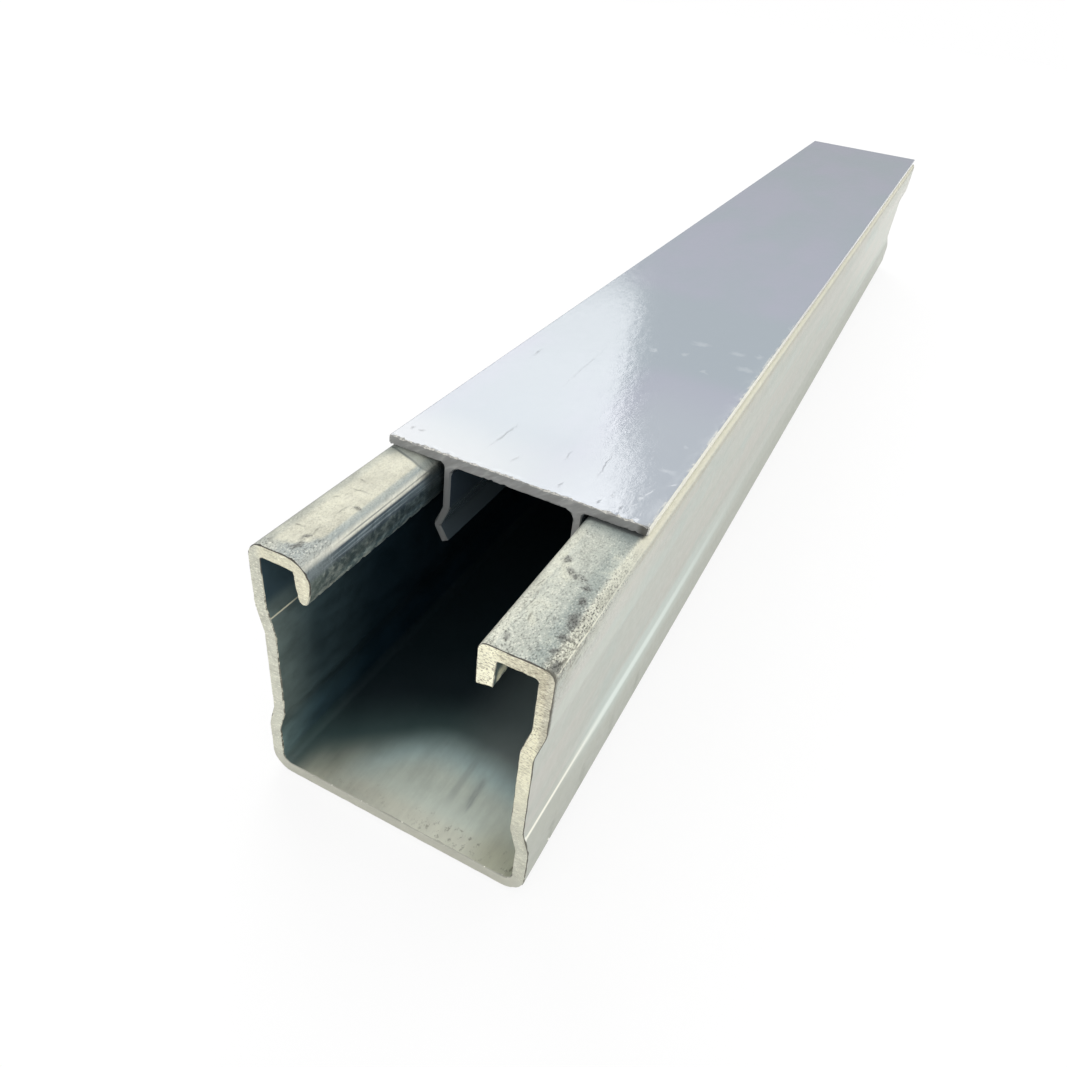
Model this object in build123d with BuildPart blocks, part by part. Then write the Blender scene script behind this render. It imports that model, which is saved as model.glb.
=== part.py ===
"""Strut channel with a closure strip snapped into its slot.

The channel is one length of galvanised sheet, roll-formed into a C section with waisted side
walls and serrated lips. The strip is one plastic extrusion: a plate that lies on the lips and
two legs with barbs that catch under them. Millimetres, +Z up, +Y along the length. The origin
is on the floor under the middle of the channel.
"""
import os

from build123d import *

# --- Channel: driving dimensions ---
channel_length = 329.0
channel_width = 41.3
channel_height = 41.3
sheet = 1.9                 # thickness of the steel
slot_width = 22.5           # between the two lips
lip_return = 6.6            # from the top down to the lips' edges
lip_thickness = 2.4         # of the turned-down lips, upset by the rolls; their outer bend too
corner_bend = 0.5           # inside radius of the upper corners
base_bend = 1.4             # inside radius of the lower corners
slit_edge = 0.35            # how far the sheet's corners are broken along the lips' edges

waist_depth = 1.1           # how far each side wall steps in
waist_bottom = 12.7         # from the floor up to the wall's sunken band
waist_flat = 14.2           # height of the band
lower_ramp = 3.6            # height of the slope below the band
upper_ramp = 4.4            # height of the slope above it
waist_bend = 3.0            # inside radius of the four shallow bends

# --- Serrations pressed into the lips' edges ---
tooth_pitch = 2.8
notch_depth = 0.6
notch_width = 1.4
plain_end = 1.0             # left unnotched at each end of the channel, at least

# --- Closure strip: driving dimensions ---
open_slot = 28.3            # left uncovered at the near end; the far end is covered flush
plate_inset = 0.65          # from the channel's side to the plate's edge
plate_thickness = 1.5       # over the lips
bridge_thickness = 1.7      # between the legs
plate_edge = 0.3            # rounding of the plate's long edges
leg_thickness = 1.15
leg_clearance = 0.55        # between a leg and its lip
outer_root = 0.6            # fillet between the plate and a leg, over the lip
inner_root = 1.3            # fillet between the plate and a leg, inside the slot
barb_clearance = 0.8        # from the lip's edge down to where the barb starts
barb_slope = 3.5            # height of the slope from there to the barb's point
barb_reach = 1.45           # how far the barb's point stands out from the leg
tip_drop = 2.8              # from the barb's point down to the leg's tip
tip_inset = 1.6             # how far the leg runs back inwards to its tip
barb_rounding = 0.15        # inside radius of the leg's two bends

# --- Places worked out from them ---
half_width = channel_width / 2
lip_face = slot_width / 2
lip_edge = channel_height - lip_return
waist_top = waist_bottom + waist_flat

strip_length = channel_length - open_slot
strip_near_end = open_slot - channel_length / 2
plate_width = channel_width - 2 * plate_inset
leg_face = lip_face - leg_clearance
leg_middle = leg_face - leg_thickness / 2
barb_start = lip_edge - barb_clearance
barb_point = barb_start - barb_slope


# --- Channel: one half of the section is thickened from its outer line, then mirrored ---
with BuildPart() as channel:
    with BuildSketch(Plane.XZ) as section:
        with BuildLine():
            FilletPolyline(
                (lip_face, lip_edge),
                (lip_face, channel_height),
                (half_width, channel_height),
                (half_width, waist_top + upper_ramp),
                (half_width - waist_depth, waist_top),
                (half_width - waist_depth, waist_bottom),
                (half_width, waist_bottom - lower_ramp),
                (half_width, 0),
                (0, 0),
                radius=[lip_thickness, corner_bend + sheet, waist_bend + sheet, waist_bend,
                        waist_bend, waist_bend + sheet, base_bend + sheet],
            )
            offset(amount=sheet, side=Side.RIGHT)
        make_face()
        # the lips are thicker than the sheet, which leaves their inside corner sharp
        with Locations((lip_face + lip_thickness, channel_height - sheet)):
            Rectangle(
                lip_thickness - sheet / 2, lip_return - sheet, align=(Align.MAX, Align.MAX)
            )
        slit_corners = section.vertices().filter_by(
            lambda v: v.X < half_width - sheet and abs(v.Y - lip_edge) < slit_edge
        )
        chamfer(slit_corners, length=slit_edge)
        mirror(about=Plane.YZ)
    extrude(amount=channel_length / 2, both=True)

    # a row of V notches, cut through both lips at once from their edges upwards
    tooth_count = int((channel_length - 2 * plain_end - notch_width) / tooth_pitch) + 1
    with BuildSketch(Plane.YZ):
        with Locations((0, lip_edge)):
            with GridLocations(tooth_pitch, 1, tooth_count, 1):
                Polygon(
                    (-notch_width / 2, 0), (0, notch_depth), (notch_width / 2, 0),
                    align=None,
                )
    extrude(amount=lip_face + lip_thickness, both=True, mode=Mode.SUBTRACT)

# --- Closure strip: the plate lies on the top, each leg reaches down past its lip ---
with BuildPart() as closure_strip:
    with BuildSketch(Plane.XZ.offset(-strip_near_end)) as profile:
        with BuildLine():
            FilletPolyline(
                (leg_face, channel_height),
                (leg_face, barb_start),
                (leg_face + barb_reach, barb_point),
                (leg_face + barb_reach - tip_inset, barb_point - tip_drop),
                radius=barb_rounding + leg_thickness,
            )
            offset(amount=leg_thickness, side=Side.RIGHT)
        make_face()
        mirror(about=Plane.YZ)
        with Locations((0, channel_height)):
            Rectangle(plate_width, plate_thickness, align=(Align.CENTER, Align.MIN))
        with Locations((0, channel_height + plate_thickness)):
            Rectangle(2 * leg_middle, bridge_thickness, align=(Align.CENTER, Align.MAX))
        plate_ends = profile.vertices().filter_by(lambda v: abs(v.X) > plate_width / 2 - plate_edge)
        fillet(plate_ends, radius=plate_edge)
        roots = profile.vertices().filter_by(
            lambda v: abs(v.X) < lip_face and v.Y > (lip_edge + channel_height) / 2
        )
        fillet(roots.filter_by(lambda v: abs(v.X) > leg_middle), radius=outer_root)
        fillet(roots.filter_by(lambda v: abs(v.X) < leg_middle), radius=inner_root)
    extrude(amount=-strip_length)

os.makedirs("parts", exist_ok=True)
channel.part.label = "channel"
export_step(channel.part, "parts/channel.step")
closure_strip.part.label = "closure_strip"
export_step(closure_strip.part, "parts/closure_strip.step")
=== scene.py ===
"""Strut channel with a closure strip snapped into its slot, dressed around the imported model.

Metres, +Z up, +Y along the length; the near end is the one that the strip leaves open.
"""
import math
import random

import bmesh
import bpy
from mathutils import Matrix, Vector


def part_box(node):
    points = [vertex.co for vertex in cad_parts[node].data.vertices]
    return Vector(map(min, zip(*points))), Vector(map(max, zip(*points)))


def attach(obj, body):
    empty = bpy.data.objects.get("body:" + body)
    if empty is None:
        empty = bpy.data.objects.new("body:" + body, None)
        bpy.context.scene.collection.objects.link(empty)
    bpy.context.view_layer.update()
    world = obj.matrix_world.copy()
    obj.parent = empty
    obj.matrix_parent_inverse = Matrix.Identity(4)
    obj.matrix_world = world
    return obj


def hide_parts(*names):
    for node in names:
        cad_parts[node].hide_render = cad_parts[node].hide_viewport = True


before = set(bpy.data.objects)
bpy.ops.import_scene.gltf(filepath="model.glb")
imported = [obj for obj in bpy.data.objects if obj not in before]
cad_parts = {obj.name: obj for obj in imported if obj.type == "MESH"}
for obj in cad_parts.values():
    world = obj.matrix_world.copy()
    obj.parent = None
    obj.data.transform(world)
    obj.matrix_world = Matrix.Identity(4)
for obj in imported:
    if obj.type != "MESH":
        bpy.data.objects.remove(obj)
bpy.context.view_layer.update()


# --- Camera: a short lens close in front of the open end, looking down the length from above
# and a little from the right, so that the sides taper strongly towards the far end.
camera_data = bpy.data.cameras.new("camera")
camera_data.sensor_width = 36
camera_data.lens = 28.18
camera_data.clip_start = 0.01
camera = bpy.data.objects.new("camera", camera_data)
camera.location = (0.04091, -0.22258, 0.10324)
camera.rotation_euler = [math.radians(angle) for angle in (53.901, -5.482, 27.061)]
bpy.context.scene.collection.objects.link(camera)
bpy.context.scene.camera = camera
bpy.context.scene.view_settings.view_transform = "Standard"


# --- Channel: one length of galvanised sheet, roll-formed into a C section with waisted sides.
# Its lips are turned down into the slot and serrated along their edges, and it is sawn to
# length, which leaves bare steel and a ragged burr round both ends.
low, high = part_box("channel")
half_width, half_length, top = high.x, high.y, high.z
sheet = 0.0019
slot_half = 0.01125                 # from the middle to a lip's face
lip_edge = top - 0.0066             # the lips' lower edges
waist = 0.0011                      # how far the side walls step in
lower_crease = 0.0127               # the bottom and the top of the sunken band
upper_crease = 0.0269
lower_ramp = 0.0036                 # heights of the slopes that lead into that band
upper_ramp = 0.0044
lip_thickness = 0.0024
top_corner = 0.0024                 # outside radius of both top corners
squeezed_corner = 0.0015            # the right one's, once it is squeezed tighter
INSIDE, SAWN, SKIN, BURR = range(4)


def select_only(piece):
    """Leaves edit mode and makes this piece the only one selected."""
    if bpy.context.object:
        bpy.ops.object.mode_set(mode="OBJECT")
    bpy.ops.object.select_all(action="DESELECT")
    if piece:
        piece.select_set(True)
        bpy.context.view_layer.objects.active = piece


def pick_edges(piece, wanted):
    """In edit mode, selects the edges whose two ends satisfy wanted(a, b)."""
    mesh = bmesh.from_edit_mesh(piece.data)
    bpy.ops.mesh.select_mode(type="EDGE")
    bpy.ops.mesh.select_all(action="DESELECT")
    for edge in mesh.edges:
        edge.select_set(wanted(edge.verts[0].co, edge.verts[1].co))
    bmesh.update_edit_mesh(piece.data)


def along_at(x, z):
    """A test for the long edges that run through this point of the section."""
    return lambda a, b: abs(a.y - b.y) > 0.01 and all(
        abs(end.x - x) + abs(end.z - z) < 1e-5 for end in (a, b)
    )


def finish_with(piece, kind, **settings):
    """Adds a modifier with these settings and applies it."""
    modifier = piece.modifiers.new(kind.lower(), kind)
    for name, value in settings.items():
        setattr(modifier, name, value)
    bpy.ops.object.modifier_apply(modifier=modifier.name)


def bend_edges(piece, line, radii, segments):
    """Rounds the inner corners of an extruded line, each to its own radius."""
    for before, corner, after, radius in zip(line, line[1:], line[2:], radii):
        turn = abs(
            math.atan2(after[1] - corner[1], after[0] - corner[0])
            - math.atan2(corner[1] - before[1], corner[0] - before[0])
        )
        turn = min(turn, 2 * math.pi - turn)
        pick_edges(piece, along_at(*corner))
        cuts = max(4, round(segments * turn))
        bpy.ops.mesh.bevel(offset=radius * math.tan(turn / 2), segments=cuts)


def extrude_line(piece, line):
    """Draws the selected long edges on along the section, corner by corner."""
    for (x, z), (next_x, next_z) in zip(line, line[1:]):
        bpy.ops.mesh.extrude_region_move(
            TRANSFORM_OT_translate={"value": (next_x - x, 0, next_z - z)}
        )


def ragged_rim(piece, end, width, spread, finish, seed):
    """Breaks the rim of the sawn face at y = end with a chamfer of uneven width."""
    mesh = bmesh.from_edit_mesh(piece.data)
    bpy.ops.mesh.select_mode(type="EDGE")
    bpy.ops.mesh.select_all(action="DESELECT")
    for edge in mesh.edges:
        on_rim = all(abs(vert.co.y - end) < 1e-6 for vert in edge.verts)
        edge.select_set(on_rim and edge.calc_face_angle(0) > 1)
    bmesh.update_edit_mesh(piece.data)
    bpy.ops.mesh.bevel(offset=width, segments=1, material=finish)
    mesh = bmesh.from_edit_mesh(piece.data)
    draw = random.Random(seed)
    chamfer = {
        vert for face in mesh.faces for vert in face.verts
        if face.material_index == finish and abs(vert.co.y - end) < 2 * width
    }
    moves = []
    for vert in sorted(chamfer, key=lambda vert: tuple(vert.co)):
        more = spread * draw.random() ** 3
        if abs(vert.co.y - end) > width / 2:
            moves.append((vert, 0, math.copysign(more, -end), 0))
            continue
        partners = [
            edge.other_vert(vert) for edge in vert.link_edges
            if edge.other_vert(vert) in chamfer
            and abs(edge.other_vert(vert).co.y - end) > width / 2
        ]
        if partners:
            step = vert.co - partners[0].co
            step.y = 0
            step = step.normalized() * more / 2
            moves.append((vert, step.x, 0, step.z))
    for vert, x, y, z in moves:
        vert.co.x += x
        vert.co.y += y
        vert.co.z += z
    bmesh.update_edit_mesh(piece.data)


# the outer skin: the base, then each side drawn up and round to its lip's edge
select_only(None)
bpy.ops.mesh.primitive_plane_add(size=1)
channel = bpy.context.object
channel.name = "rolled_channel"
channel.scale = (2 * half_width, 2 * half_length, 1)
bpy.ops.object.transform_apply(scale=True)
bpy.ops.object.mode_set(mode="EDIT")
for side, lip_bend in ((-1, 0.0036), (1, 0.0012)):
    skin = [
        (side * x, z)
        for x, z in (
            (half_width, 0),
            (half_width, lower_crease - lower_ramp),
            (half_width - waist, lower_crease),
            (half_width - waist, upper_crease),
            (half_width, upper_crease + upper_ramp),
            (half_width, top),
            (slot_half, top),
            (slot_half, lip_edge),
        )
    ]
    pick_edges(channel, along_at(*skin[0]))
    extrude_line(channel, skin)
    line = [(-side * half_width, 0)] + skin
    # outside radii: base, the four shallow bends of the waist, top corner, lip
    bends = (0.0033, 0.0049, 0.0015, 0.0030, 0.0049, top_corner, lip_bend)
    bend_edges(channel, line, bends, segments=8)

# the section's outline is cut into short steps, so that the saw can leave its rim ragged
for length in (0.0100, 0.0050, 0.0024, 0.0012):
    pick_edges(channel, lambda a, b: abs(a.y - b.y) < 1e-6 and (a - b).length > length)
    bpy.ops.mesh.subdivide(number_cuts=int(length / 0.0006) - 1)
bpy.ops.object.mode_set(mode="OBJECT")

# the skin gets the sheet's thickness inwards: what it leaves on the ends is sawn steel
for name in ("galvanised inside", "sawn steel", "galvanised skin", "saw burr"):
    channel.data.materials.append(bpy.data.materials.new(name))
finish_with(
    channel,
    "SOLIDIFY",
    thickness=sheet,
    offset=1,
    use_even_offset=True,
    material_offset=SKIN,
    material_offset_rim=SAWN,
)


def between(rows, height):
    """Reads the other columns of a table at this height, which is its first column."""
    for (low, *before), (high, *after) in zip(rows, rows[1:]):
        if height <= high:
            part = max(0, (height - low) / (high - low))
            return [a + (b - a) * part for a, b in zip(before, after)]
    return rows[-1][1:]


# the rolls upset the lips: the left one tapers to a blunt edge, the right one is squarer.
# rows: height, then how far the lip's two faces are from the middle, all in millimetres
left_lip = (
    (34.7, 12.10, 13.1),
    (35.3, 11.85, 13.3),
    (36.3, 11.55, 13.5),
    (37.8, 11.30, 13.7),
    (39.4, 11.25, 13.8),
)
right_lip = ((34.7, 11.3, 13.45), (36.0, 11.25, 13.5), (39.4, 11.25, 13.7))
for vert in channel.data.vertices:
    across, height = abs(vert.co.x), vert.co.z
    if across > slot_half + 1.3 * lip_thickness or height < lip_edge - 1e-5:
        continue
    face, back = between(left_lip if vert.co.x < 0 else right_lip, 1000 * height)
    if across < slot_half + 1e-5:
        across = face / 1000
    elif across > slot_half + lip_thickness / 2 and height < top - lip_thickness / 2:
        across = back / 1000
        height = min(height, top - sheet)
    if vert.co.x > 0 and height < lip_edge + 1e-5:
        height += 0.0002 + 0.2 * (across - slot_half)
    vert.co.x, vert.co.z = math.copysign(across, vert.co.x), height

# the right side's top corner is squeezed tighter on its outside
for vert in channel.data.vertices:
    out, up = vert.co.x - half_width + top_corner, vert.co.z - top + top_corner
    if min(out, up) > -1e-6 and math.hypot(out, up) > top_corner - 0.0001:
        turn = math.atan2(up, out)
        vert.co.x += (top_corner - squeezed_corner) * (1 - math.cos(turn))
        vert.co.z += (top_corner - squeezed_corner) * (1 - math.sin(turn))

# slitting leaves the sheet's own edges slightly rounded, along both lips
bpy.ops.object.mode_set(mode="EDIT")
bpy.ops.mesh.select_all(action="SELECT")
bpy.ops.mesh.remove_doubles(threshold=0.00001)
for side, rounding in ((-1, 0.00045), (1, 0.0002)):
    pick_edges(
        channel,
        lambda a, b: abs(a.y - b.y) > half_length and all(
            side * end.x > 0 and end.z < lip_edge + 0.0009
            and slot_half - 0.0001 < side * end.x < slot_half + lip_thickness + 0.0002
            for end in (a, b)
        ),
    )
    mesh = bmesh.from_edit_mesh(channel.data)
    for edge in mesh.edges:
        if edge.select and edge.calc_face_angle(0) < 0.6:
            edge.select_set(False)
    bmesh.update_edit_mesh(channel.data)
    bpy.ops.mesh.bevel(offset=rounding, segments=4)
for end in (-half_length, half_length):
    ragged_rim(channel, end, width=0.00008, spread=0.00020, finish=BURR, seed=3)
bpy.ops.object.mode_set(mode="OBJECT")
for face in channel.data.polygons:
    if face.material_index == SAWN and abs(face.normal.y) < 0.9:
        face.material_index = SKIN

# a row of wedges presses the serrations into both lips' edges at once
pitch = 0.0028
notch_depth = 0.0006
teeth = int((2 * half_length - 0.0034) / pitch) + 1
select_only(None)
bpy.ops.mesh.primitive_cylinder_add(
    vertices=3,
    radius=2 * notch_depth,
    depth=2 * (slot_half + 2 * sheet),
    location=(0, -pitch * (teeth - 1) / 2, lip_edge - notch_depth),
    rotation=(math.pi / 2, 0, math.pi / 2),
)
wedges = bpy.context.object
bpy.ops.object.transform_apply(location=True, rotation=True, scale=True)
for vert in wedges.data.vertices:
    vert.co.y += vert.co.y + pitch * (teeth - 1) / 2
finish_with(
    wedges,
    "ARRAY",
    count=teeth,
    use_relative_offset=False,
    use_constant_offset=True,
    constant_offset_displace=(0, pitch, 0),
)
draw = random.Random(4)
for tooth in range(teeth):
    slip, sink = (draw.random() - 0.5) * 0.0006, draw.random() * 0.0003
    for vert in wedges.data.vertices[6 * tooth : 6 * tooth + 6]:
        vert.co.y += slip
        vert.co.z += sink
select_only(channel)
finish_with(channel, "BOOLEAN", object=wedges, operation="DIFFERENCE", solver="EXACT")
bpy.data.objects.remove(wedges)
bpy.ops.object.shade_smooth_by_angle(angle=math.radians(25))
finish_with(channel, "WEIGHTED_NORMAL", keep_sharp=True, weight=100)
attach(channel, "root")
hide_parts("channel")


def add(kind, *inputs, tree=None, **settings):
    """A shader node with these settings, its inputs linked or set in order; gives its output."""
    if tree is None:
        tree = next(value for value in inputs if isinstance(value, bpy.types.NodeSocket)).id_data
    made = tree.nodes.new("ShaderNode" + kind)
    for name, value in settings.items():
        setattr(made, name, value)
    for socket, value in zip(made.inputs, inputs):
        if isinstance(value, bpy.types.NodeSocket):
            tree.links.new(value, socket)
        elif value is not None:
            socket.default_value = value
    return made.outputs[0]


def chain(operation, *values):
    """Joins values one after another with this Math operation."""
    result = values[0]
    for value in values[1:]:
        result = add("Math", result, value, operation=operation)
    return result


def both(*masks):
    return chain("MULTIPLY", *masks)


def either(*masks):
    return chain("MAXIMUM", *masks)


def total(*values):
    return chain("ADD", *values)


def less(value, taken):
    return chain("SUBTRACT", value, taken)


def unsigned(value):
    return add("Math", value, operation="ABSOLUTE")


def fade(value, start, end, low=0.0, high=1.0):
    """Goes smoothly from low, at start, to high, at end."""
    return add("MapRange", value, start, end, low, high, interpolation_type="SMOOTHSTEP")


def band(value, centre, reach, soft):
    """1 within reach of centre, fading to 0 over soft."""
    return fade(unsigned(less(value, centre)), reach + soft, reach)


def mixed(factor, below, above, how="MIX"):
    """Mixes two colours, each a socket or its red, green and blue."""
    below, above = ((*part, 1) if isinstance(part, tuple) else part for part in (below, above))
    return add("MixRGB", factor, below, above, blend_type=how)


def coat(colour, over, *masks):
    """Lays another colour over this one where all of the masks are 1."""
    return mixed(both(*masks), colour, over)


def shaded(colour, amount):
    """Multiplies a colour by an amount of light or dark."""
    return mixed(1.0, colour, amount, "MULTIPLY")


def grain(place, scale, detail=3.0, roughness=0.6):
    """Noise between 0 and 1; scale is in cycles a millimetre along each axis."""
    stretched = add("Mapping", place, None, None, scale)
    return add("TexNoise", stretched, None, 1.0, detail, roughness)


def marks(place, strokes, waver=0.25):
    """1 along slim marks, each (middle x, middle y, length, width, turn in degrees)."""
    shake = add("TexNoise", place, None, 0.8).node.outputs["Color"]
    shake = add("VectorMath", shake, (0.5, 0.5, 0.5), operation="SUBTRACT")
    shake = add("VectorMath", shake, (4 * waver,) * 3, operation="MULTIPLY")
    moved = add("VectorMath", place, shake, operation="ADD")
    found = []
    for middle_x, middle_y, length, width, turn in strokes:
        unit = add(
            "Mapping",
            moved,
            (middle_x, middle_y, 0),
            (0, 0, math.radians(turn)),
            (length / 2, width / 2, 1000),
            vector_type="TEXTURE",
        )
        away = add("VectorMath", unit, operation="LENGTH").node.outputs["Value"]
        found.append(fade(away, 1.0, 0.2))
    return either(*found)


def axes(place):
    return add("SeparateXYZ", place).node.outputs


def connect(node, name, value):
    """Links a value to the input of this name."""
    node.id_data.links.new(value, node.inputs[name])


def bump(shader, height, distance, strength):
    """Lets this height, in metres at 1, catch the light without changing the shape."""
    made = shader.id_data.nodes.new("ShaderNodeBump")
    made.inputs["Strength"].default_value = strength
    made.inputs["Distance"].default_value = distance
    connect(made, "Height", height)
    connect(shader, "Normal", made.outputs[0])


def new_finish(name):
    """A material's shader, and the place on the piece in millimetres, whole and by axis."""
    finish = bpy.data.materials[name]
    finish.use_nodes = True
    metres = add("TexCoord", tree=finish.node_tree).node.outputs["Object"]
    place = add("Mapping", metres, None, None, (1000, 1000, 1000))
    return finish.node_tree.nodes["Principled BSDF"], place, *axes(place)


# Galvanised skin: zinc that went through the rolls with the sheet, smooth and cool on the
# walls, rubbed to cream on the tops and scuffed by handling. Its streaks run along the rolls.
shader, place, x, y, z = new_finish("galvanised skin")
side = unsigned(x)
left = fade(x, 1.0, -1.0)
right = fade(x, -1.0, 1.0)
depth = less(1000 * half_length, unsigned(y))
on_top = fade(z, 40.0, 41.0)
bands = grain(place, (0.30, 0.010, 0.30), 4)
clouds = grain(place, (0.10, 0.04, 0.10), 3)
blotch = grain(place, (0.24, 0.16, 0.24), 4, 0.65)
mottle = grain(place, (0.9, 0.7, 0.9), 4, 0.7)
speck = grain(place, (5.0, 3.2, 5.0), 2, 0.6)
colour = mixed(fade(bands, 0.35, 0.65), (0.52, 0.545, 0.49), (0.565, 0.56, 0.51))
colour = coat(colour, (0.50, 0.56, 0.515), fade(clouds, 0.50, 0.72, 0, 0.7))
below_top = both(band(z, 35.2, 2.6, 2.6), fade(y, -118.0, -150.0))
colour = shaded(colour, total(1.0, both(below_top, 0.10)))
colour = shaded(colour, fade(y, 10.0, 110.0, 1.0, 1.13))
creamy = both(fade(z, 36.0, 40.0), fade(blotch, 0.42, 0.62, 0.1, 0.7))
colour = coat(colour, (0.59, 0.59, 0.50), creamy)
rubbed = both(fade(z, 33.0, 39.0), fade(y, -138.0, -156.0))
crackle = total(fade(mottle, 0.3, 0.7, -0.10, 0.08), fade(speck, 0.40, 0.60, -0.14, 0.12))
colour = shaded(colour, total(1.0, both(rubbed, crackle)))

# the crease under the waist catches the light, softer away from the end, above a duller slope
crease = 1000 * lower_crease - 1.1
colour = coat(colour, (0.495, 0.51, 0.455), fade(z, crease, crease - 0.6))
soft = fade(y, -158.0, -135.0)
sink = total(z, fade(y, -158.0, -110.0, 0.0, 0.4))
halo = both(band(sink, crease + 0.9, 0.8, 2.6), soft, fade(y, -30.0, -140.0, 0.15, 0.9))
colour = coat(colour, (0.60, 0.665, 0.62), halo)
bright = mixed(soft, (0.98, 0.97, 0.86), (0.78, 0.85, 0.80))
line = mixed(soft, band(sink, crease, 0.10, 0.24), band(sink, crease, 0.22, 0.65))
colour = coat(colour, bright, line, fade(y, -60.0, -140.0))

# finger smears and a bright nick low on the right wall, and a painted highlight where the crease
# ends at the cut
smears = either(
    band(y, -157.0, 0.2, 1.3),
    *(band(y, centre, 0.2, 1.5) for centre in (-147.0, -136.5, -125.5)),
)
smears = both(right, smears, band(z, 5.5, 1.0, 2.6), fade(mottle, 0.3, 0.6, 0.25, 0.50))
colour = coat(colour, (0.34, 0.355, 0.30), smears)
# painted highlight where the crease meets the sawn end
crease_end_highlight = both(band(z, crease, 0.25, 0.25), fade(depth, 0.6, 0.2))
colour = coat(colour, (1.0, 0.99, 0.90), crease_end_highlight)
slant = total(y, both(z, 0.6))
nick = both(right, band(slant, -155.3, 0.05, 0.25), band(z, 2.9, 0.6, 0.7))
colour = coat(colour, (1.0, 0.99, 0.92), nick)

# rubbed tops: cream on the left, cooler on the right with a duller track beside its margin
cream_top = mixed(fade(side, 17.5, 18.7), (0.60, 0.59, 0.485), (0.45, 0.46, 0.395))
cool_top = mixed(fade(side, 14.0, 17.2), (0.51, 0.53, 0.465), (0.435, 0.465, 0.415))
track = both(band(side, 18.0, 0.45, 0.9), fade(clouds, 0.30, 0.60, 0.6, 1.0))
cool_top = coat(cool_top, (0.325, 0.365, 0.335), track)
cool_top = coat(cool_top, (0.64, 0.645, 0.545), fade(side, 18.9, 19.5))
cool_top = coat(cool_top, (0.575, 0.585, 0.50), fade(side, 13.1, 12.7))
colour = coat(colour, mixed(right, cream_top, cool_top), on_top)
uneven = total(fade(blotch, 0.36, 0.64, -0.13, 0.09), fade(mottle, 0.36, 0.64, -0.07, 0.06))
colour = shaded(colour, total(1.0, both(on_top, uneven)))
colour = coat(colour, (0.61, 0.60, 0.48), on_top, fade(blotch, 0.52, 0.70, 0, 0.45))

# the left lip's bend: a painted highlight, a cool streak and a dark hairline in the cream,
# then slate into the slot, made lighter near the cut by painted light
streak = grain(place, (2.2, 0.03, 2.2), 3)
hair = grain(place, (5.0, 0.06, 5.0), 2)
at_bend = fade(z, 39.6, 40.2)
# a painted highlight on the bend, where it turns away from the light
bend_highlight = mixed(fade(side, 12.7, 12.2), (0.62, 0.63, 0.56), (0.83, 0.82, 0.71))
colour = coat(colour, bend_highlight, left, fade(side, 13.0, 12.5), at_bend)
cool = both(left, band(side, 13.1, 0.10, 0.60), at_bend, fade(streak, 0.36, 0.58, 0.7, 1.0))
colour = coat(colour, (0.36, 0.41, 0.405), cool)
hairline = both(left, band(z, 40.18, 0.02, 0.09), fade(side, 12.9, 12.5))
hairline = both(hairline, fade(y, -160.0, -154.0), fade(streak, 0.35, 0.55, 0.3, 0.8))
colour = coat(colour, (0.22, 0.24, 0.22), hairline)
in_slot = fade(side, 12.6, 12.2)
dark_slate = (0.05, 0.075, 0.095)
slate = mixed(fade(z, 39.8, 39.4), dark_slate, (0.10, 0.14, 0.16))
slate = coat(slate, dark_slate, fade(z, 39.2, 38.9))
slate = coat(slate, (0.27, 0.32, 0.34), fade(hair, 0.50, 0.62, 0, 0.75))
colour = coat(colour, slate, left, in_slot, fade(z, 40.0, 39.7))
# painted light on the slot face near the open end
painted_slot_light = both(left, in_slot, fade(z, 40.6, 39.8), fade(y, -157.0, -161.5, 0.0, 0.7))
colour = coat(colour, (0.24, 0.28, 0.28), painted_slot_light)

# the lips' faces in the slot: painted gloom that deepens away from the open end, with painted
# glints, worn flecks, and pale worn tips along the teeth that painted shade darkens away from the
# open end; the left face gets painted light near the cut
slot_side = both(in_slot, fade(z, 39.0, 38.4))
deeper = fade(y, -160.0, -142.0)
gloom = mixed(deeper, (0.070, 0.100, 0.100), (0.030, 0.052, 0.062))
gloom = coat(gloom, (0.15, 0.19, 0.17), fade(y, -161.0, -163.5))
glints = mixed(deeper, (0.27, 0.31, 0.28), (0.14, 0.185, 0.19))
colour = coat(colour, mixed(fade(mottle, 0.40, 0.68), gloom, glints), slot_side)
# painted light on the left face's lower part near the cut
painted_light_near_cut = both(slot_side, left, fade(z, 37.4, 36.2), fade(y, -161.0, -156.0))
colour = shaded(colour, total(1.0, painted_light_near_cut))
# pale worn tips, darker away from the open end by painted shade
worn_tips_and_shade = mixed(fade(y, -158.0, -142.0), (0.48, 0.51, 0.44), (0.30, 0.34, 0.32))
tips = both(slot_side, left, fade(z, 36.2, 35.4), fade(mottle, 0.38, 0.58, 0, 0.75))
colour = coat(colour, worn_tips_and_shade, tips)
flecks = both(slot_side, fade(mottle, 0.57, 0.72), fade(speck, 0.44, 0.60, 0, 0.8))
colour = coat(colour, (0.36, 0.39, 0.33), flecks)

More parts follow.
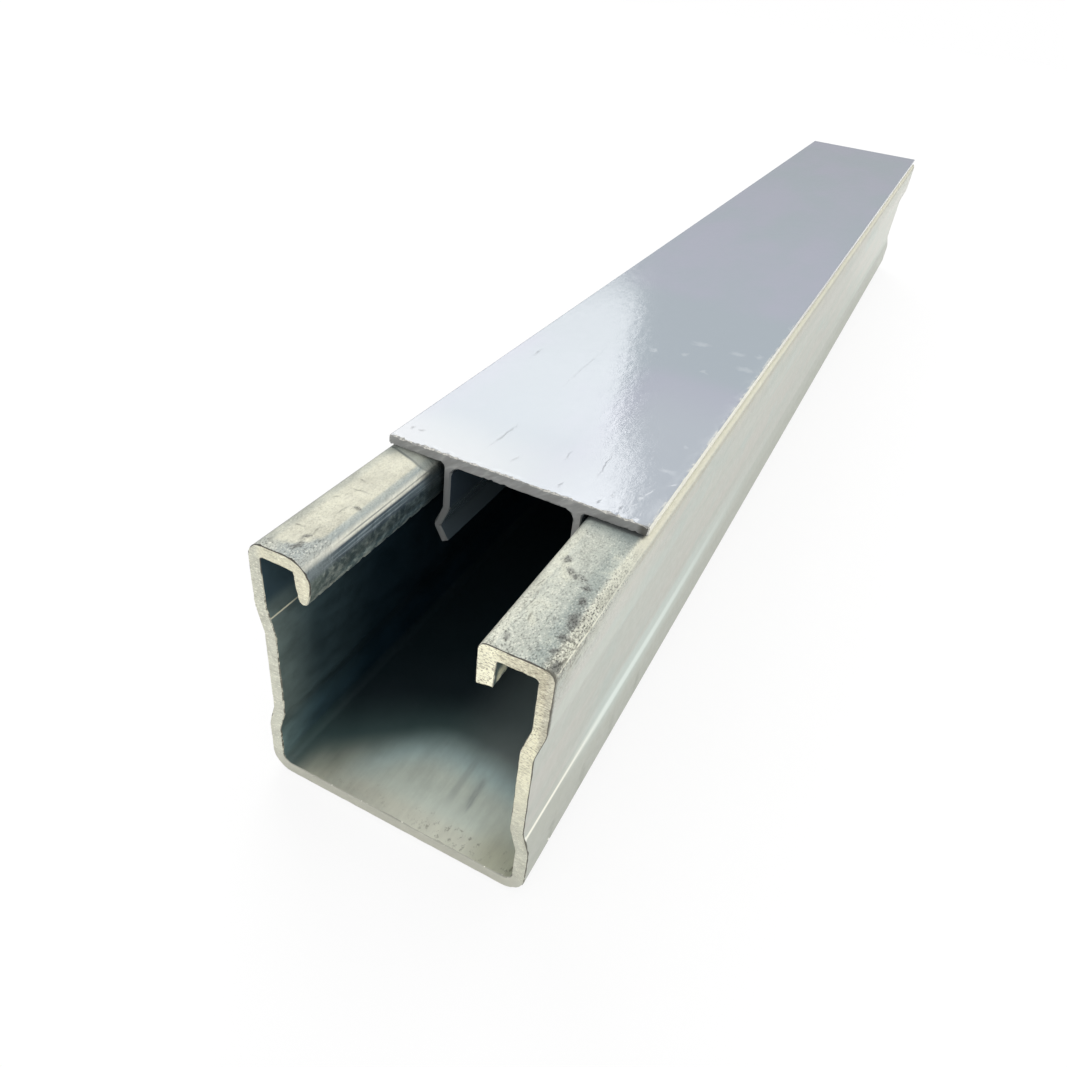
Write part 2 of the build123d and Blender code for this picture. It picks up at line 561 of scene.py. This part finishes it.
# fine grain over the tops, busier by the cuts and in the right lip's outer margin
by_cut = total(depth, fade(blotch, 0.3, 0.7, -1.2, 1.2))
by_cut = less(by_cut, both(left, fade(side, 16.0, 12.6, 0.0, 3.0)))
cut_zone = both(on_top, fade(by_cut, 3.0, 1.2))
patch = mixed(fade(side, 13.8, 12.8), (0.36, 0.39, 0.37), (0.47, 0.49, 0.45))
colour = coat(colour, patch, cut_zone, left, fade(side, 18.0, 15.5, 0.45, 1.0))
margin = both(right, fade(side, 18.0, 19.4), fade(z, 38.6, 39.8))
margin = both(margin, fade(y, -138.0, -154.0, 0.30, 1.0))
over_tops = both(on_top, fade(x, -12.0, 12.0, 0.45, 1.0), fade(y, -148.0, -160.0, 0.36, 0.52))
busy = either(both(margin, 0.9), both(cut_zone, 0.62), over_tops)
colour = coat(colour, (0.06, 0.06, 0.05), busy, fade(speck, 0.52, 0.66))
colour = coat(colour, (0.95, 0.93, 0.81), busy, fade(speck, 0.44, 0.32, 0.0, 0.8))
crust = fade(grain(place, (2.2, 1.4, 2.2), 2, 0.6), 0.50, 0.62, 0.0, 0.6)
colour = coat(colour, (0.10, 0.10, 0.08), margin, fade(y, -152.0, -158.0), crust)
pits = both(right, on_top, fade(mottle, 0.60, 0.70), fade(speck, 0.54, 0.64, 0, 0.7))
colour = coat(colour, (0.10, 0.105, 0.095), pits)

# the squeezed corner: a bright wavering line, partly burnished zinc and partly a painted
# highlight, and painted light on the shoulder beside the strip; the left corner is darker
waver = fade(grain(place, (0.1, 0.09, 0.1), 3, 0.6), 0.3, 0.7, -0.08, 0.08)
off_corner = total(less(side, z), total(waver, fade(y, -160.0, -120.0, 0.0, 0.6)))
# burnished zinc with a painted highlight along the corner
corner_line = both(right, fade(side, 19.6, 19.8), band(off_corner, -19.95, 0.06, 0.16))
corner_line = both(corner_line, fade(y, -150.0, -154.0, 0.45, 1.0))
colour = coat(colour, (0.86, 0.85, 0.72), corner_line)
# painted light on the right shoulder beside the strip, where the plate shades it
painted_light_beside_strip = both(right, fade(side, 19.3, 19.7), fade(z, 40.2, 40.7), fade(y, -142.0, -135.5))
colour = coat(colour, (0.80, 0.78, 0.64), painted_light_beside_strip)
# the left top corner is darker
colour = coat(colour, (0.23, 0.24, 0.225), left, fade(side, 19.0, 20.2), fade(z, 39.2, 40.4))

# the right wall near the saw cut: a painted shadow of the burr along the cut edge, freckles, and
# dirt dragged off the corner
painted_burr_shadow = both(right, fade(side, 19.2, 19.8), fade(z, 29.0, 34.0))
painted_burr_shadow = both(painted_burr_shadow, fade(depth, 0.75, 0.25), fade(mottle, 0.35, 0.55, 0.5, 0.95))
colour = coat(colour, (0.11, 0.105, 0.08), painted_burr_shadow)
freckled = both(right, fade(side, 19.7, 20.1), fade(z, 32.0, 38.5), fade(depth, 8.0, 1.5))
freckled = both(freckled, fade(speck, 0.50, 0.62, 0.0, 0.75))
colour = coat(colour, (0.26, 0.25, 0.19), freckled)
dragged = fade(grain(place, (1.6, 0.5, 1.6), 4, 0.7), 0.52, 0.64, 0.0, 0.65)
dragged = both(dragged, fade(y, -146.0, -160.0))
dragged = both(dragged, right, fade(side, 19.7, 20.1), fade(z, 35.0, 39.0))
colour = coat(colour, (0.22, 0.215, 0.165), dragged)
# a thin tan line of painted shadow in the gap under the strip's plate edge
painted_gap_shadow = both(right, band(z, 39.9, 0.15, 0.45), fade(side, 19.8, 20.2))
colour = coat(colour, (0.48, 0.45, 0.35), painted_gap_shadow, fade(y, -144.0, -138.0, 0.0, 0.45))

# painted shade where the strip's plate shades the lips as they come out from under it: a painted
# shadow edge, painted shade beside the leg, and painted contact shadows under the plate
past_plate = less(y, both(left, side, 0.35))
past_plate = total(past_plate, fade(z, 41.3, 39.3, 0.0, -2.0))
left_shade = both(left, fade(z, 39.3, 39.8), fade(past_plate, -143.7, -143.2, 0.0, 0.8))
colour = coat(colour, (0.29, 0.315, 0.285), left_shade)
# painted shade in the slot beside the strip's left leg
painted_shade_beside_leg = both(left, in_slot, fade(z, 41.0, 39.8), fade(y, -141.0, -138.0, 0.0, 0.85))
colour = coat(colour, (0.012, 0.02, 0.022), painted_shade_beside_leg)
# painted shade on the left lip's top next to the plate
painted_plate_shade = both(left, on_top, fade(side, 15.5, 18.5), fade(y, -139.6, -137.4, 0.0, 0.5))
colour = coat(colour, (0.22, 0.25, 0.23), painted_plate_shade)
# a painted shadow edge slanting across the left lip
painted_shadow_edge = both(left, on_top, band(past_plate, -143.25, 0.05, 0.30))
colour = coat(colour, (0.10, 0.115, 0.11), painted_shadow_edge, fade(side, 11.5, 17.0, 0.3, 0.7))
right_shade = both(right, on_top, fade(side, 19.5, 18.9), fade(y, -140.8, -136.4, 0.0, 0.75))
colour = coat(colour, (0.16, 0.20, 0.20), right_shade)
# a painted contact shadow under the plate's right edge
painted_contact_shadow = both(on_top, right, fade(side, 19.9, 19.4), fade(y, -137.3, -136.5, 0.0, 0.85))
colour = coat(colour, (0.05, 0.055, 0.055), painted_contact_shadow)

# scuffs and fine scratches from handling
scuffs = marks(
    place,
    [
        (13.3, -146.2, 3.0, 1.6, 80),
        (14.6, -148.2, 2.2, 1.6, -30),
        (15.9, -148.8, 3.2, 1.7, -6),
        (17.5, -150.0, 2.4, 1.8, -40),
        (18.2, -152.4, 3.0, 1.4, -70),
        (18.7, -155.9, 4.4, 2.4, -85),
        (18.9, -158.9, 2.2, 1.8, -30),
        (20.0, -163.2, 3.4, 1.5, 84),
        (18.9, -161.6, 2.0, 1.2, 70),
        (13.4, -162.3, 2.8, 1.3, -60),
        (-15.0, -162.1, 2.8, 1.4, 78),
        (-13.9, -151.9, 1.8, 1.2, 40),
        (-15.2, -160.4, 2.6, 1.0, 84),
    ],
    waver=0.3,
)
scuffs = both(scuffs, fade(z, 39.4, 40.0))
colour = coat(colour, (0.16, 0.165, 0.15), scuffs, fade(mottle, 0.36, 0.58, 0.35, 0.95))
colour = coat(colour, (0.05, 0.05, 0.045), scuffs, fade(speck, 0.50, 0.60, 0, 0.85))
scratches = marks(
    place,
    [
        (-15.6, -148.5, 3.4, 0.5, 4),
        (-17.2, -146.3, 1.6, 0.5, -30),
        (-15.1, -153.2, 3.4, 0.5, 84),
        (-15.0, -158.6, 3.0, 0.4, 96),
        (-17.4, -158.8, 2.6, 0.45, 2),
        (-13.9, -151.9, 1.0, 0.6, 40),
        (-17.6, -151.3, 1.2, 0.6, 60),
        (-18.3, -163.0, 1.6, 0.6, 110),
        (13.1, -155.0, 9.0, 0.25, 89),
        (14.2, -158.2, 3.0, 0.45, 102),
        (12.5, -152.0, 2.4, 0.30, 80),
    ],
)
colour = coat(colour, (0.24, 0.24, 0.20), on_top, scratches, fade(mottle, 0.3, 0.6, 0.3, 0.8))
connect(shader, "Base Color", colour)
rough = total(fade(mottle, 0.3, 0.7, 0.40, 0.58), fade(z, 40.2, 41.0, 0.0, 0.12))
connect(shader, "Roughness", rough)
shader.inputs["Metallic"].default_value = 0.3
bump(shader, both(fade(z, 34.0, 36.0), mottle), 0.0006, 0.7)

# Sawn steel: the cut ends, scored by a fine blade across the sheet. They are creamy where the
# bare steel has begun to tarnish, and pitted with dark pores on the right.
shader, place, x, y, z = new_finish("sawn steel")
side = unsigned(x)
cuts = grain(place, (0.45, 1, 8.0), 3, 0.7)
pores = grain(place, (2.5, 2.5, 4.8), 3, 0.8)
stain = grain(place, (0.5, 0.5, 0.5), 3, 0.6)
on_wall = fade(z, 2.0, 4.0)
colour = mixed(on_wall, (0.54, 0.54, 0.46), (0.585, 0.59, 0.49))
colour = coat(colour, (0.84, 0.81, 0.60), fade(z, 8.0, 28.0), fade(x, -10.0, 10.0))
left_top = both(fade(z, 38.8, 39.4), fade(x, 10.0, -10.0), fade(side, 19.8, 18.0))
colour = coat(colour, (0.72, 0.70, 0.53), left_top)
tan = mixed(fade(side, 15.0, 20.0), (0.70, 0.67, 0.50), (0.60, 0.56, 0.41))
colour = coat(colour, tan, fade(z, 33.0, 38.0), fade(x, 13.8, 15.0))
bright_lip = mixed(fade(x, -5.0, 5.0), (0.76, 0.73, 0.55), (0.98, 0.955, 0.72))
colour = coat(colour, bright_lip, fade(side, 14.0, 13.4), fade(z, 33.0, 34.0))
outer_edge = mixed(fade(z, 27.5, 31.5), (0.41, 0.40, 0.32), (0.59, 0.565, 0.44))
outer = both(fade(side, 19.4, 20.1), fade(z, 9.0, 12.0), fade(x, -5.0, 5.0))
colour = coat(colour, outer_edge, outer)
uneven = mixed(on_wall, fade(stain, 0.3, 0.7, 0.96, 1.04), fade(stain, 0.3, 0.7, 0.90, 1.09))
colour = shaded(colour, uneven)
pitted = both(on_wall, fade(z, 16.0, 34.0, 0.18, 1.0), fade(x, -10.0, 10.0, 0.35, 1.0))
colour = coat(colour, (0.26, 0.22, 0.165), pitted, fade(pores, 0.51, 0.61, 0, 0.8))
colour = coat(colour, (1.0, 0.98, 0.82), on_wall, fade(pores, 0.45, 0.36, 0, 0.6))
colour = coat(colour, (0.24, 0.21, 0.16), on_wall, fade(cuts, 0.54, 0.68, 0, 0.40))
connect(shader, "Base Color", colour)
shader.inputs["Metallic"].default_value = 0.15
shader.inputs["Roughness"].default_value = 0.5
bump(shader, cuts, 0.0001, 0.7)

# Galvanised inside: the same zinc, never rubbed and stained in blotches, with painted shade that
# makes it darker and bluer the further it lies from the open end. Only the floor under the slot
# gets a painted pool of light, which fades out into painted shade.
shader, place, x, y, z = new_finish("galvanised inside")
depth = less(1000 * half_length, unsigned(y))
clouds = grain(place, (0.07, 0.05, 0.07), 3)
stain = grain(place, (0.25, 0.15, 0.25), 4, 0.65)
crumbs = grain(place, (1.2, 0.8, 1.2), 4, 0.7)
drag = grain(place, (1.0, 0.10, 1.0), 3)
# painted shade darkens the walls and turns them bluer away from the open end; painted light
# brightens them low down
wall = mixed(fade(depth, -2.0, 9.0), (0.16, 0.21, 0.195), (0.042, 0.074, 0.084))
wall = coat(wall, (0.007, 0.021, 0.032), fade(depth, 5.0, 24.0))
wall = shaded(wall, fade(stain, 0.3, 0.7, 0.75, 1.2))
wall = shaded(wall, mixed(fade(z, 11.0, 6.0), (1, 1, 1), (1.35, 1.5, 1.6)))
wall = coat(wall, (0.052, 0.094, 0.115), fade(z, 30.5, 33.0), fade(x, 0.0, -1.0))

# the floor's painted pool of light reaches less deep towards the left, and its border is softer
# there
floor_end = fade(x, -18.5, 1.0, 1.6, 14.8)
blur = fade(x, -12.0, 2.0, 5.4, 3.8)
reach = total(depth, fade(clouds, 0.2, 0.8, -0.7, 0.7))
past = chain("DIVIDE", less(reach, floor_end), blur)
lit = mixed(fade(depth, 1.5, 5.0), (0.545, 0.555, 0.465), (0.56, 0.615, 0.535))
lit = coat(lit, (0.49, 0.50, 0.40), fade(x, -6.0, -13.0))
lit = coat(lit, (0.49, 0.63, 0.605), fade(past, -1.6, -0.2), fade(x, -13.0, -4.0))
lit = coat(lit, (0.13, 0.17, 0.16), fade(x, -14.5, -18.0))
lit = coat(lit, (0.42, 0.43, 0.33), fade(x, 10.0, 15.0), fade(depth, 9.0, 2.0))
lit = shaded(lit, fade(x, -6.0, 5.0, 1.0, 1.20))
lit = shaded(lit, fade(depth, 6.0, 2.0, 1.0, 1.05))
fine = fade(drag, 0.35, 0.65, -0.03, 0.03)
lit = shaded(lit, total(fine, fade(stain, 0.30, 0.70, 0.91, 1.08)))

# crumbs of rust behind the cut, and two places where something was dragged along the floor
rust = both(band(depth, 1.8, 0.9, 1.6), fade(x, 1.0, 6.0, 0.2, 0.75), fade(crumbs, 0.54, 0.68))
lit = coat(lit, (0.24, 0.24, 0.18), rust)
scrape = both(band(x, 8.0, 0.2, 0.7), band(depth, 9.0, 1.2, 3.2))
lit = coat(lit, (0.27, 0.31, 0.30), scrape, fade(drag, 0.36, 0.60, 0.2, 0.75))
trace = both(band(x, 5.2, 0.2, 0.7), band(depth, 10.5, 2.0, 4.0))
lit = coat(lit, (0.30, 0.34, 0.32), trace, fade(drag, 0.30, 0.55, 0.1, 0.4))
# past the pool of light the floor is painted into shade, darkest on the left
shade = mixed(fade(x, -4.0, 11.0), (0.016, 0.031, 0.038), (0.19, 0.24, 0.235))
dusk = mixed(fade(x, -3.0, 11.0), (0.075, 0.130, 0.125), (0.24, 0.28, 0.265))
shade = coat(shade, dusk, fade(past, 3.0, 0.0))
under_slot = coat(shade, lit, fade(past, 1.0, -1.0))
colour = coat(wall, under_slot, fade(z, 4.0, 2.1))

# a lit patch on the right lip's hidden face, and a gleam along the slope over the left waist
hook = both(fade(x, 12.6, 13.0), fade(x, 14.2, 13.8), band(z, 35.4, 1.2, 1.2))
hook = both(hook, band(depth, 2.0, 0.9, 0.6), fade(crumbs, 0.30, 0.46))
colour = coat(colour, (1.0, 0.98, 0.72), hook)
gleam = both(band(z, 29.6, 0.04, 0.12), fade(depth, 7.0, 3.0), fade(x, -17.0, -17.5))
colour = coat(colour, (0.85, 0.82, 0.62), gleam)
connect(shader, "Base Color", colour)
connect(shader, "Roughness", fade(stain, 0.3, 0.7, 0.42, 0.6))
shader.inputs["Metallic"].default_value = 0.3

# Saw burr: the thin ragged rim between the sawn end and the zinc. It is dark along the tops
# and down the right wall's outside, and bright crumbs of steel are left on it along the base.
shader, place, x, y, z = new_finish("saw burr")
flecks = grain(place, (1.1, 1.1, 1.1), 3, 0.7)
colour = mixed(fade(flecks, 0.44, 0.58), (0.16, 0.155, 0.125), (0.62, 0.61, 0.50))
left_rim = both(fade(x, 0.0, -1.0), fade(z, 35.6, 37.2))
colour = coat(colour, (0.07, 0.065, 0.055), either(left_rim, fade(z, 40.9, 41.1)))
crumbs = mixed(fade(flecks, 0.60, 0.66), (0.42, 0.42, 0.36), (0.95, 0.94, 0.84))
colour = coat(colour, crumbs, fade(z, 3.5, 2.0))
colour = coat(colour, (0.34, 0.34, 0.29), fade(z, 1.0, 0.5))
colour = coat(colour, (0.52, 0.51, 0.41), fade(z, 37.0, 36.0), fade(z, 34.0, 34.5))
colour = coat(colour, (0.13, 0.125, 0.10), fade(x, 19.0, 19.4), fade(z, 3.0, 6.0))
connect(shader, "Base Color", colour)
shader.inputs["Metallic"].default_value = 0.3
shader.inputs["Roughness"].default_value = 0.6


# --- Closure strip: one extrusion of grey plastic, a plate on the lips and two springy legs
# whose barbs catch under them. It is sawn at the open end and flush with the far one.
strip_low, strip_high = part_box("closure_strip")
strip_length = strip_high.y - strip_low.y
strip_middle = (strip_high.y + strip_low.y) / 2
plate_half = strip_high.x
leg_face = slot_half - 0.00055
leg = 0.00115                       # thickness of a leg
under = top - 0.0002                # underside of the bridge between the legs
barb_start = lip_edge - 0.0008      # just below the lips
PLASTIC, CUT, CHIPPED = range(3)

# the legs: one line from the plate down round the barb, mirrored and given its thickness
legs_line = [
    (leg_face, top + 0.0004),
    (leg_face, barb_start),
    (leg_face + 0.00145, barb_start - 0.0035),
    (leg_face - 0.00015, barb_start - 0.0063),
]
select_only(None)
bpy.ops.mesh.primitive_plane_add(
    size=strip_length, location=(leg_face, strip_middle, top), rotation=(0, math.pi / 2, 0)
)
legs = bpy.context.object
bpy.ops.object.transform_apply(location=True, rotation=True, scale=True)
bpy.ops.object.mode_set(mode="EDIT")
mesh = bmesh.from_edit_mesh(legs.data)
for vert in mesh.verts:
    vert.co.z = legs_line[0][1] if vert.co.z > top else legs_line[1][1]
bmesh.update_edit_mesh(legs.data)
pick_edges(legs, along_at(*legs_line[1]))
extrude_line(legs, legs_line[1:])
bend_edges(legs, legs_line, (0.0013, 0.0013), segments=8)
bpy.ops.object.mode_set(mode="OBJECT")
finish_with(legs, "MIRROR")
finish_with(legs, "SOLIDIFY", thickness=leg, offset=-1, use_even_offset=True)

# the plate, with the thicker bridge between the legs drawn down out of its underside
select_only(None)
bpy.ops.mesh.primitive_cube_add(size=1, location=(0, strip_middle, (top + strip_high.z) / 2))
strip = bpy.context.object
strip.name = "snap_in_strip"
strip.scale = (2 * plate_half, strip_length, strip_high.z - top)
bpy.ops.object.transform_apply(location=True, rotation=True, scale=True)
bpy.ops.object.mode_set(mode="EDIT")
bpy.ops.mesh.bisect(plane_co=(0, strip_middle, 0), plane_no=(1, 0, 0))
for side in (-1, 1):
    bpy.ops.mesh.select_all(action="SELECT")
    bpy.ops.mesh.bisect(plane_co=(side * (leg_face - leg / 2), 0, 0), plane_no=(1, 0, 0))
bpy.ops.mesh.select_mode(type="FACE")
bpy.ops.mesh.select_all(action="DESELECT")
mesh = bmesh.from_edit_mesh(strip.data)
for face in mesh.faces:
    centre = face.calc_center_median()
    face.select_set(face.normal.z < -0.9 and abs(centre.x) < leg_face - leg / 2)
bmesh.update_edit_mesh(strip.data)
bpy.ops.mesh.extrude_region_move(TRANSFORM_OT_translate={"value": (0, 0, under - top)})
pick_edges(
    strip,
    lambda a, b: abs(a.y - b.y) > 0.01 and abs(a.x - b.x) < 1e-6 and abs(a.x) > plate_half - 1e-5,
)
bpy.ops.mesh.bevel(offset=0.0003, segments=4)
bpy.ops.object.mode_set(mode="OBJECT")

# plate and legs are one extrusion, so they are joined and the legs' roots are rounded
finish_with(strip, "BOOLEAN", object=legs, operation="UNION", solver="EXACT")
bpy.data.objects.remove(legs)
bpy.ops.object.mode_set(mode="EDIT")
bpy.ops.mesh.select_all(action="SELECT")
bpy.ops.mesh.dissolve_limited(angle_limit=math.radians(1))
for place_x, place_z, radius in ((leg_face, top, 0.0006), (leg_face - leg, under, 0.0016)):
    for side in (-1, 1):
        pick_edges(strip, along_at(side * place_x, place_z))
        bpy.ops.mesh.bevel(offset=radius, segments=6)

# the sawn end is cut into short steps so that its rim can be chipped
draw = random.Random(8)
sawn_layer = 0.0012                 # only this much of the strip's length is cut
bpy.ops.mesh.select_all(action="SELECT")
bpy.ops.mesh.bisect(plane_co=(0, strip_low.y + sawn_layer, 0), plane_no=(0, 1, 0))
sound_corner = 0.0006               # the plate's two corners are left whole
step = sound_corner - plate_half
while step < plate_half - sound_corner:
    mesh = bmesh.from_edit_mesh(strip.data)
    bpy.ops.mesh.select_mode(type="FACE")
    bpy.ops.mesh.select_all(action="DESELECT")
    for face in mesh.faces:
        face.select_set(
            all(
                vert.co.y < strip_low.y + sawn_layer + 0.0001 and vert.co.z > top - 0.001
                for vert in face.verts
            )
        )
    bmesh.update_edit_mesh(strip.data)
    bpy.ops.mesh.bisect(plane_co=(step, 0, 0), plane_no=(1, 0, 0))
    step += 0.0002 + 0.0005 * draw.random()
for name in ("grey plastic", "sawn plastic", "chipped plastic"):
    strip.data.materials.append(bpy.data.materials.new(name))
ragged_rim(strip, strip_low.y, width=0.00010, spread=0.00045, finish=CHIPPED, seed=5)
ragged_rim(strip, strip_high.y, width=0.00006, spread=0.0, finish=CHIPPED, seed=6)
bpy.ops.object.mode_set(mode="OBJECT")
for face in strip.data.polygons:
    if abs(face.normal.y) > 0.9:
        face.material_index = CUT
bpy.ops.object.shade_smooth_by_angle(angle=math.radians(25))
finish_with(strip, "WEIGHTED_NORMAL", keep_sharp=True, weight=100)
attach(strip, "root")
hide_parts("closure_strip")

# Grey plastic: the strip's own skin, glossy as it left the die, with a bluish cast that turns
# lilac in places. It is lightly scratched, and worn along the edge that stands over the wall.
shader, place, x, y, z = new_finish("grey plastic")
clouds = grain(place, (0.05, 0.02, 0.05), 3)
fuzz = grain(place, (0.8, 0.35, 0.8), 4, 0.65)
even = less(1.0, band(y, -70.0, 14.0, 12.0))
lilac = both(fade(x, -1.0, 7.0), band(y, -102.0, 8.0, 8.0))
lilac = either(lilac, both(even, fade(clouds, 0.35, 0.65)))
colour = mixed(lilac, (0.312, 0.358, 0.400), (0.338, 0.355, 0.425))
colour = coat(colour, (0.365, 0.40, 0.445), fade(y, -84.0, -112.0), fade(x, 2.0, 10.0))
whitened = both(fade(y, -122.0, -136.0, 0.0, 0.6), fade(x, 12.0, -10.0, 0.1, 1.0))
colour = coat(colour, (0.50, 0.51, 0.51), whitened)
light_marks = marks(
    place,
    [
        (17.0, -128.6, 3.4, 0.5, 78),
        (16.6, -130.4, 1.2, 0.9, 60),
        (16.3, -132.8, 2.6, 0.4, 74),
        (14.9, -129.5, 0.8, 0.9, 20),
        (13.1, -132.0, 1.4, 0.5, 80),
        (19.1, -124.6, 1.8, 0.5, 60),
    ],
)
colour = coat(colour, (0.64, 0.66, 0.68), light_marks, 0.38)
dull_marks = marks(
    place,
    [
        (17.4, -121.6, 3.4, 1.6, 4),
        (17.2, -113.4, 1.6, 1.0, -50),
        (7.1, -74.1, 4.4, 3.2, 26),
        (14.2, -73.8, 4.0, 3.0, 19),
        (17.9, -72.6, 2.2, 2.6, 19),
        (17.4, -79.8, 4.4, 3.0, 13),
        (6.2, -80.6, 1.6, 2.4, 16),
        (0.7, -82.6, 1.8, 2.6, 30),
        (11.3, -85.6, 1.6, 2.4, 16),
        (19.5, -54.7, 1.0, 4.0, 0),
    ],
    waver=0.5,
)
by_edge = both(fade(x, 17.4, 19.9), fade(y, -62.0, -92.0, 0.0, 0.8), fade(fuzz, 0.36, 0.70))
dull_marks = either(dull_marks, by_edge)
colour = coat(colour, (0.62, 0.65, 0.68), dull_marks, 0.20)
dark_marks = marks(
    place,
    [
        (9.2, -125.0, 11.0, 0.34, 95),
        (-6.5, -126.5, 11.0, 0.45, 88),
        (-6.6, -97.0, 26.0, 0.16, 91),
        (3.8, -126.0, 4.0, 0.3, 92),
        (-15.8, -97.0, 5.0, 0.5, 88),
        (-18.4, -132.6, 1.4, 0.7, 80),
        (-16.9, -132.4, 1.2, 0.9, 20),
        (-2.0, -131.5, 3.0, 0.3, 85),
        (12.2, -134.4, 1.6, 0.5, 80),
        (15.2, -134.2, 1.8, 0.5, 86),
        (6.2, -133.8, 2.6, 0.3, 88),
        (19.6, -136.0, 1.6, 2.6, 0),
    ],
)
colour = coat(colour, (0.10, 0.105, 0.105), dark_marks, 0.32)
nicks = both(fade(x, 19.45, 19.75), fade(y, -30.0, -90.0), fade(fuzz, 0.46, 0.62, 0.0, 0.7))
colour = coat(colour, (0.72, 0.72, 0.65), nicks)

# painted shade makes the legs and the plate's underside darker, less so at the barbs, and painted
# light makes the plate's right side face pale towards the open end
painted_shade_on_legs = mixed(fade(z, 34.4, 33.4), (0.042, 0.060, 0.078), (0.075, 0.100, 0.115))
colour = coat(colour, painted_shade_on_legs, fade(z, 41.2, 40.0))
painted_light_on_edge = mixed(fade(y, -10.0, -85.0), (0.46, 0.47, 0.49), (0.80, 0.79, 0.68))
colour = coat(colour, painted_light_on_edge, fade(x, 19.85, 19.95), fade(z, 41.3, 41.4))
connect(shader, "Base Color", colour)
dulled = either(light_marks, dark_marks, both(dull_marks, 0.35))
connect(shader, "Roughness", total(fade(fuzz, 0.3, 0.7, 0.07, 0.12), both(dulled, 0.3)))
bump(shader, fuzz, 0.0001, 0.25)

# Sawn plastic: the strip's cut ends, matt and a little warmer than its skin, scored aslant by
# the saw and dirty at the right corner.
shader, place, x, y, z = new_finish("sawn plastic")
slanted = add("Mapping", place, None, (0, math.radians(35), 0), (1, 1, 1))
cuts = grain(slanted, (0.30, 1, 1.6), 2, 0.6)
colour = mixed(fade(cuts, 0.35, 0.65), (0.25, 0.252, 0.245), (0.30, 0.305, 0.30))
colour = coat(colour, (0.40, 0.40, 0.385), fade(cuts, 0.56, 0.68, 0.0, 0.7))
# the legs' ends below the plate are darker by painted shade, the left one more
shaded_leg_ends = mixed(fade(x, -2.0, 2.0), (0.165, 0.17, 0.168), (0.27, 0.27, 0.26))
colour = coat(colour, shaded_leg_ends, fade(z, 41.2, 38.5))
colour = coat(colour, (0.07, 0.068, 0.058), fade(x, 18.2, 19.2, 0.0, 0.85))
connect(shader, "Base Color", colour)
shader.inputs["Roughness"].default_value = 0.6
bump(shader, cuts, 0.0001, 0.6)

# Chipped plastic: crumbs along the sawn rim, whitened by the stress of the cut, darker below
# the plate.
shader, place, x, y, z = new_finish("chipped plastic")
crumbs = grain(place, (2.2, 2.2, 2.2), 3, 0.7)
colour = mixed(fade(crumbs, 0.40, 0.62), (0.28, 0.28, 0.27), (0.60, 0.59, 0.54))
colour = coat(colour, (0.13, 0.14, 0.14), fade(z, 41.8, 41.2))
connect(shader, "Base Color", colour)
shader.inputs["Roughness"].default_value = 0.6


# --- Floor and light: a sheet of white paper under the piece, a soft white surround, a big soft
# box beyond the far end to the left, and weak fills from the right, the front and above.
select_only(None)
bpy.ops.mesh.primitive_plane_add(size=3.2)
floor = bpy.context.object
floor.name = "floor"
paper = bpy.data.materials.new("white paper")
paper.use_nodes = True
tree = paper.node_tree
shader = tree.nodes["Principled BSDF"]
shader.inputs["Base Color"].default_value = (0.93, 0.93, 0.93, 1)
shader.inputs["Roughness"].default_value = 0.9
floor.data.materials.append(paper)


def to_camera(tree):
    """1 on what the camera sees straight, 0 in reflections and in what lights the piece."""
    return add("LightPath", tree=tree).node.outputs["Is Camera Ray"]


# for the camera alone the paper is mostly glow, so that it is white and keeps a faint shadow
glowing = 0.84
glow = add("Emission", tree=tree)
mix = add("MixShader", both(to_camera(tree), glowing), shader.outputs[0], glow)
connect(tree.nodes["Material Output"], "Surface", mix)

# the surround is brighter from above, and the camera sees plain white behind the floor
world = bpy.data.worlds.new("studio")
bpy.context.scene.world = world
world.use_nodes = True
tree = world.node_tree
surround = tree.nodes["Background"]
surround.inputs["Color"].default_value = (1, 1, 1, 1)
height = axes(add("TexCoord", tree=tree).node.outputs["Generated"])[2]
connect(surround, "Strength", fade(height, 0.10, 0.55, 0.35, 0.75))
backdrop = add("Background", (1, 1, 1, 1), 1.0, tree=tree)
mix = add("MixShader", to_camera(tree), surround.outputs[0], backdrop)
connect(tree.nodes["World Output"], "Surface", mix)


def lamp(name, width, height, glow, place, turn):
    """A rectangular lamp of this size and brightness that the camera doesn't see."""
    data = bpy.data.lights.new(name, "AREA")
    data.shape = "RECTANGLE"
    data.size, data.size_y = width, height
    data.energy = glow * math.pi * width * height
    made = bpy.data.objects.new(name, data)
    made.location, made.rotation_euler = place, turn
    made.visible_camera = False
    bpy.context.scene.collection.objects.link(made)


def softbox(name, azimuths, elevations, glow, distance=2.4):
    """An upright lamp that fills these angles as seen from the open end, from +Y towards +X."""
    turn = math.radians(sum(azimuths) / 2)
    width = 2 * distance * math.tan(math.radians(azimuths[1] - azimuths[0]) / 2)
    foot, head = (distance * math.tan(math.radians(angle)) for angle in elevations)
    away, ahead = distance * math.sin(turn), distance * math.cos(turn)
    place = (away, ahead - half_length, top + (foot + head) / 2)
    lamp(name, width, head - foot, glow, place, (math.pi / 2, 0, math.pi - turn))


# the key light, in tiers that brighten towards its top: each one's foot, head and right edge
key_left = -54
for foot, head, edge, glow in (
    (17.7, 19.4, -18.6, 1.0),
    (19.4, 23.5, -17.1, 2.2),
    (23.5, 27.0, -17.1, 3.0),
    (27.0, 30.3, -17.0, 3.7),
    (30.3, 33.5, -15.2, 3.8),
    (33.5, 45.0, -15.3, 5.2),
):
    softbox("key", (key_left, edge), (foot, head), glow)
softbox("right fill", (60, 130), (10, 45), 1.0)
softbox("front fill", (150, 220), (10, 45), 1.0)
lamp("overhead", 0.9, 0.6, 2.0, place=(-0.1, 0.30, 1.2), turn=(0, 0, 0))
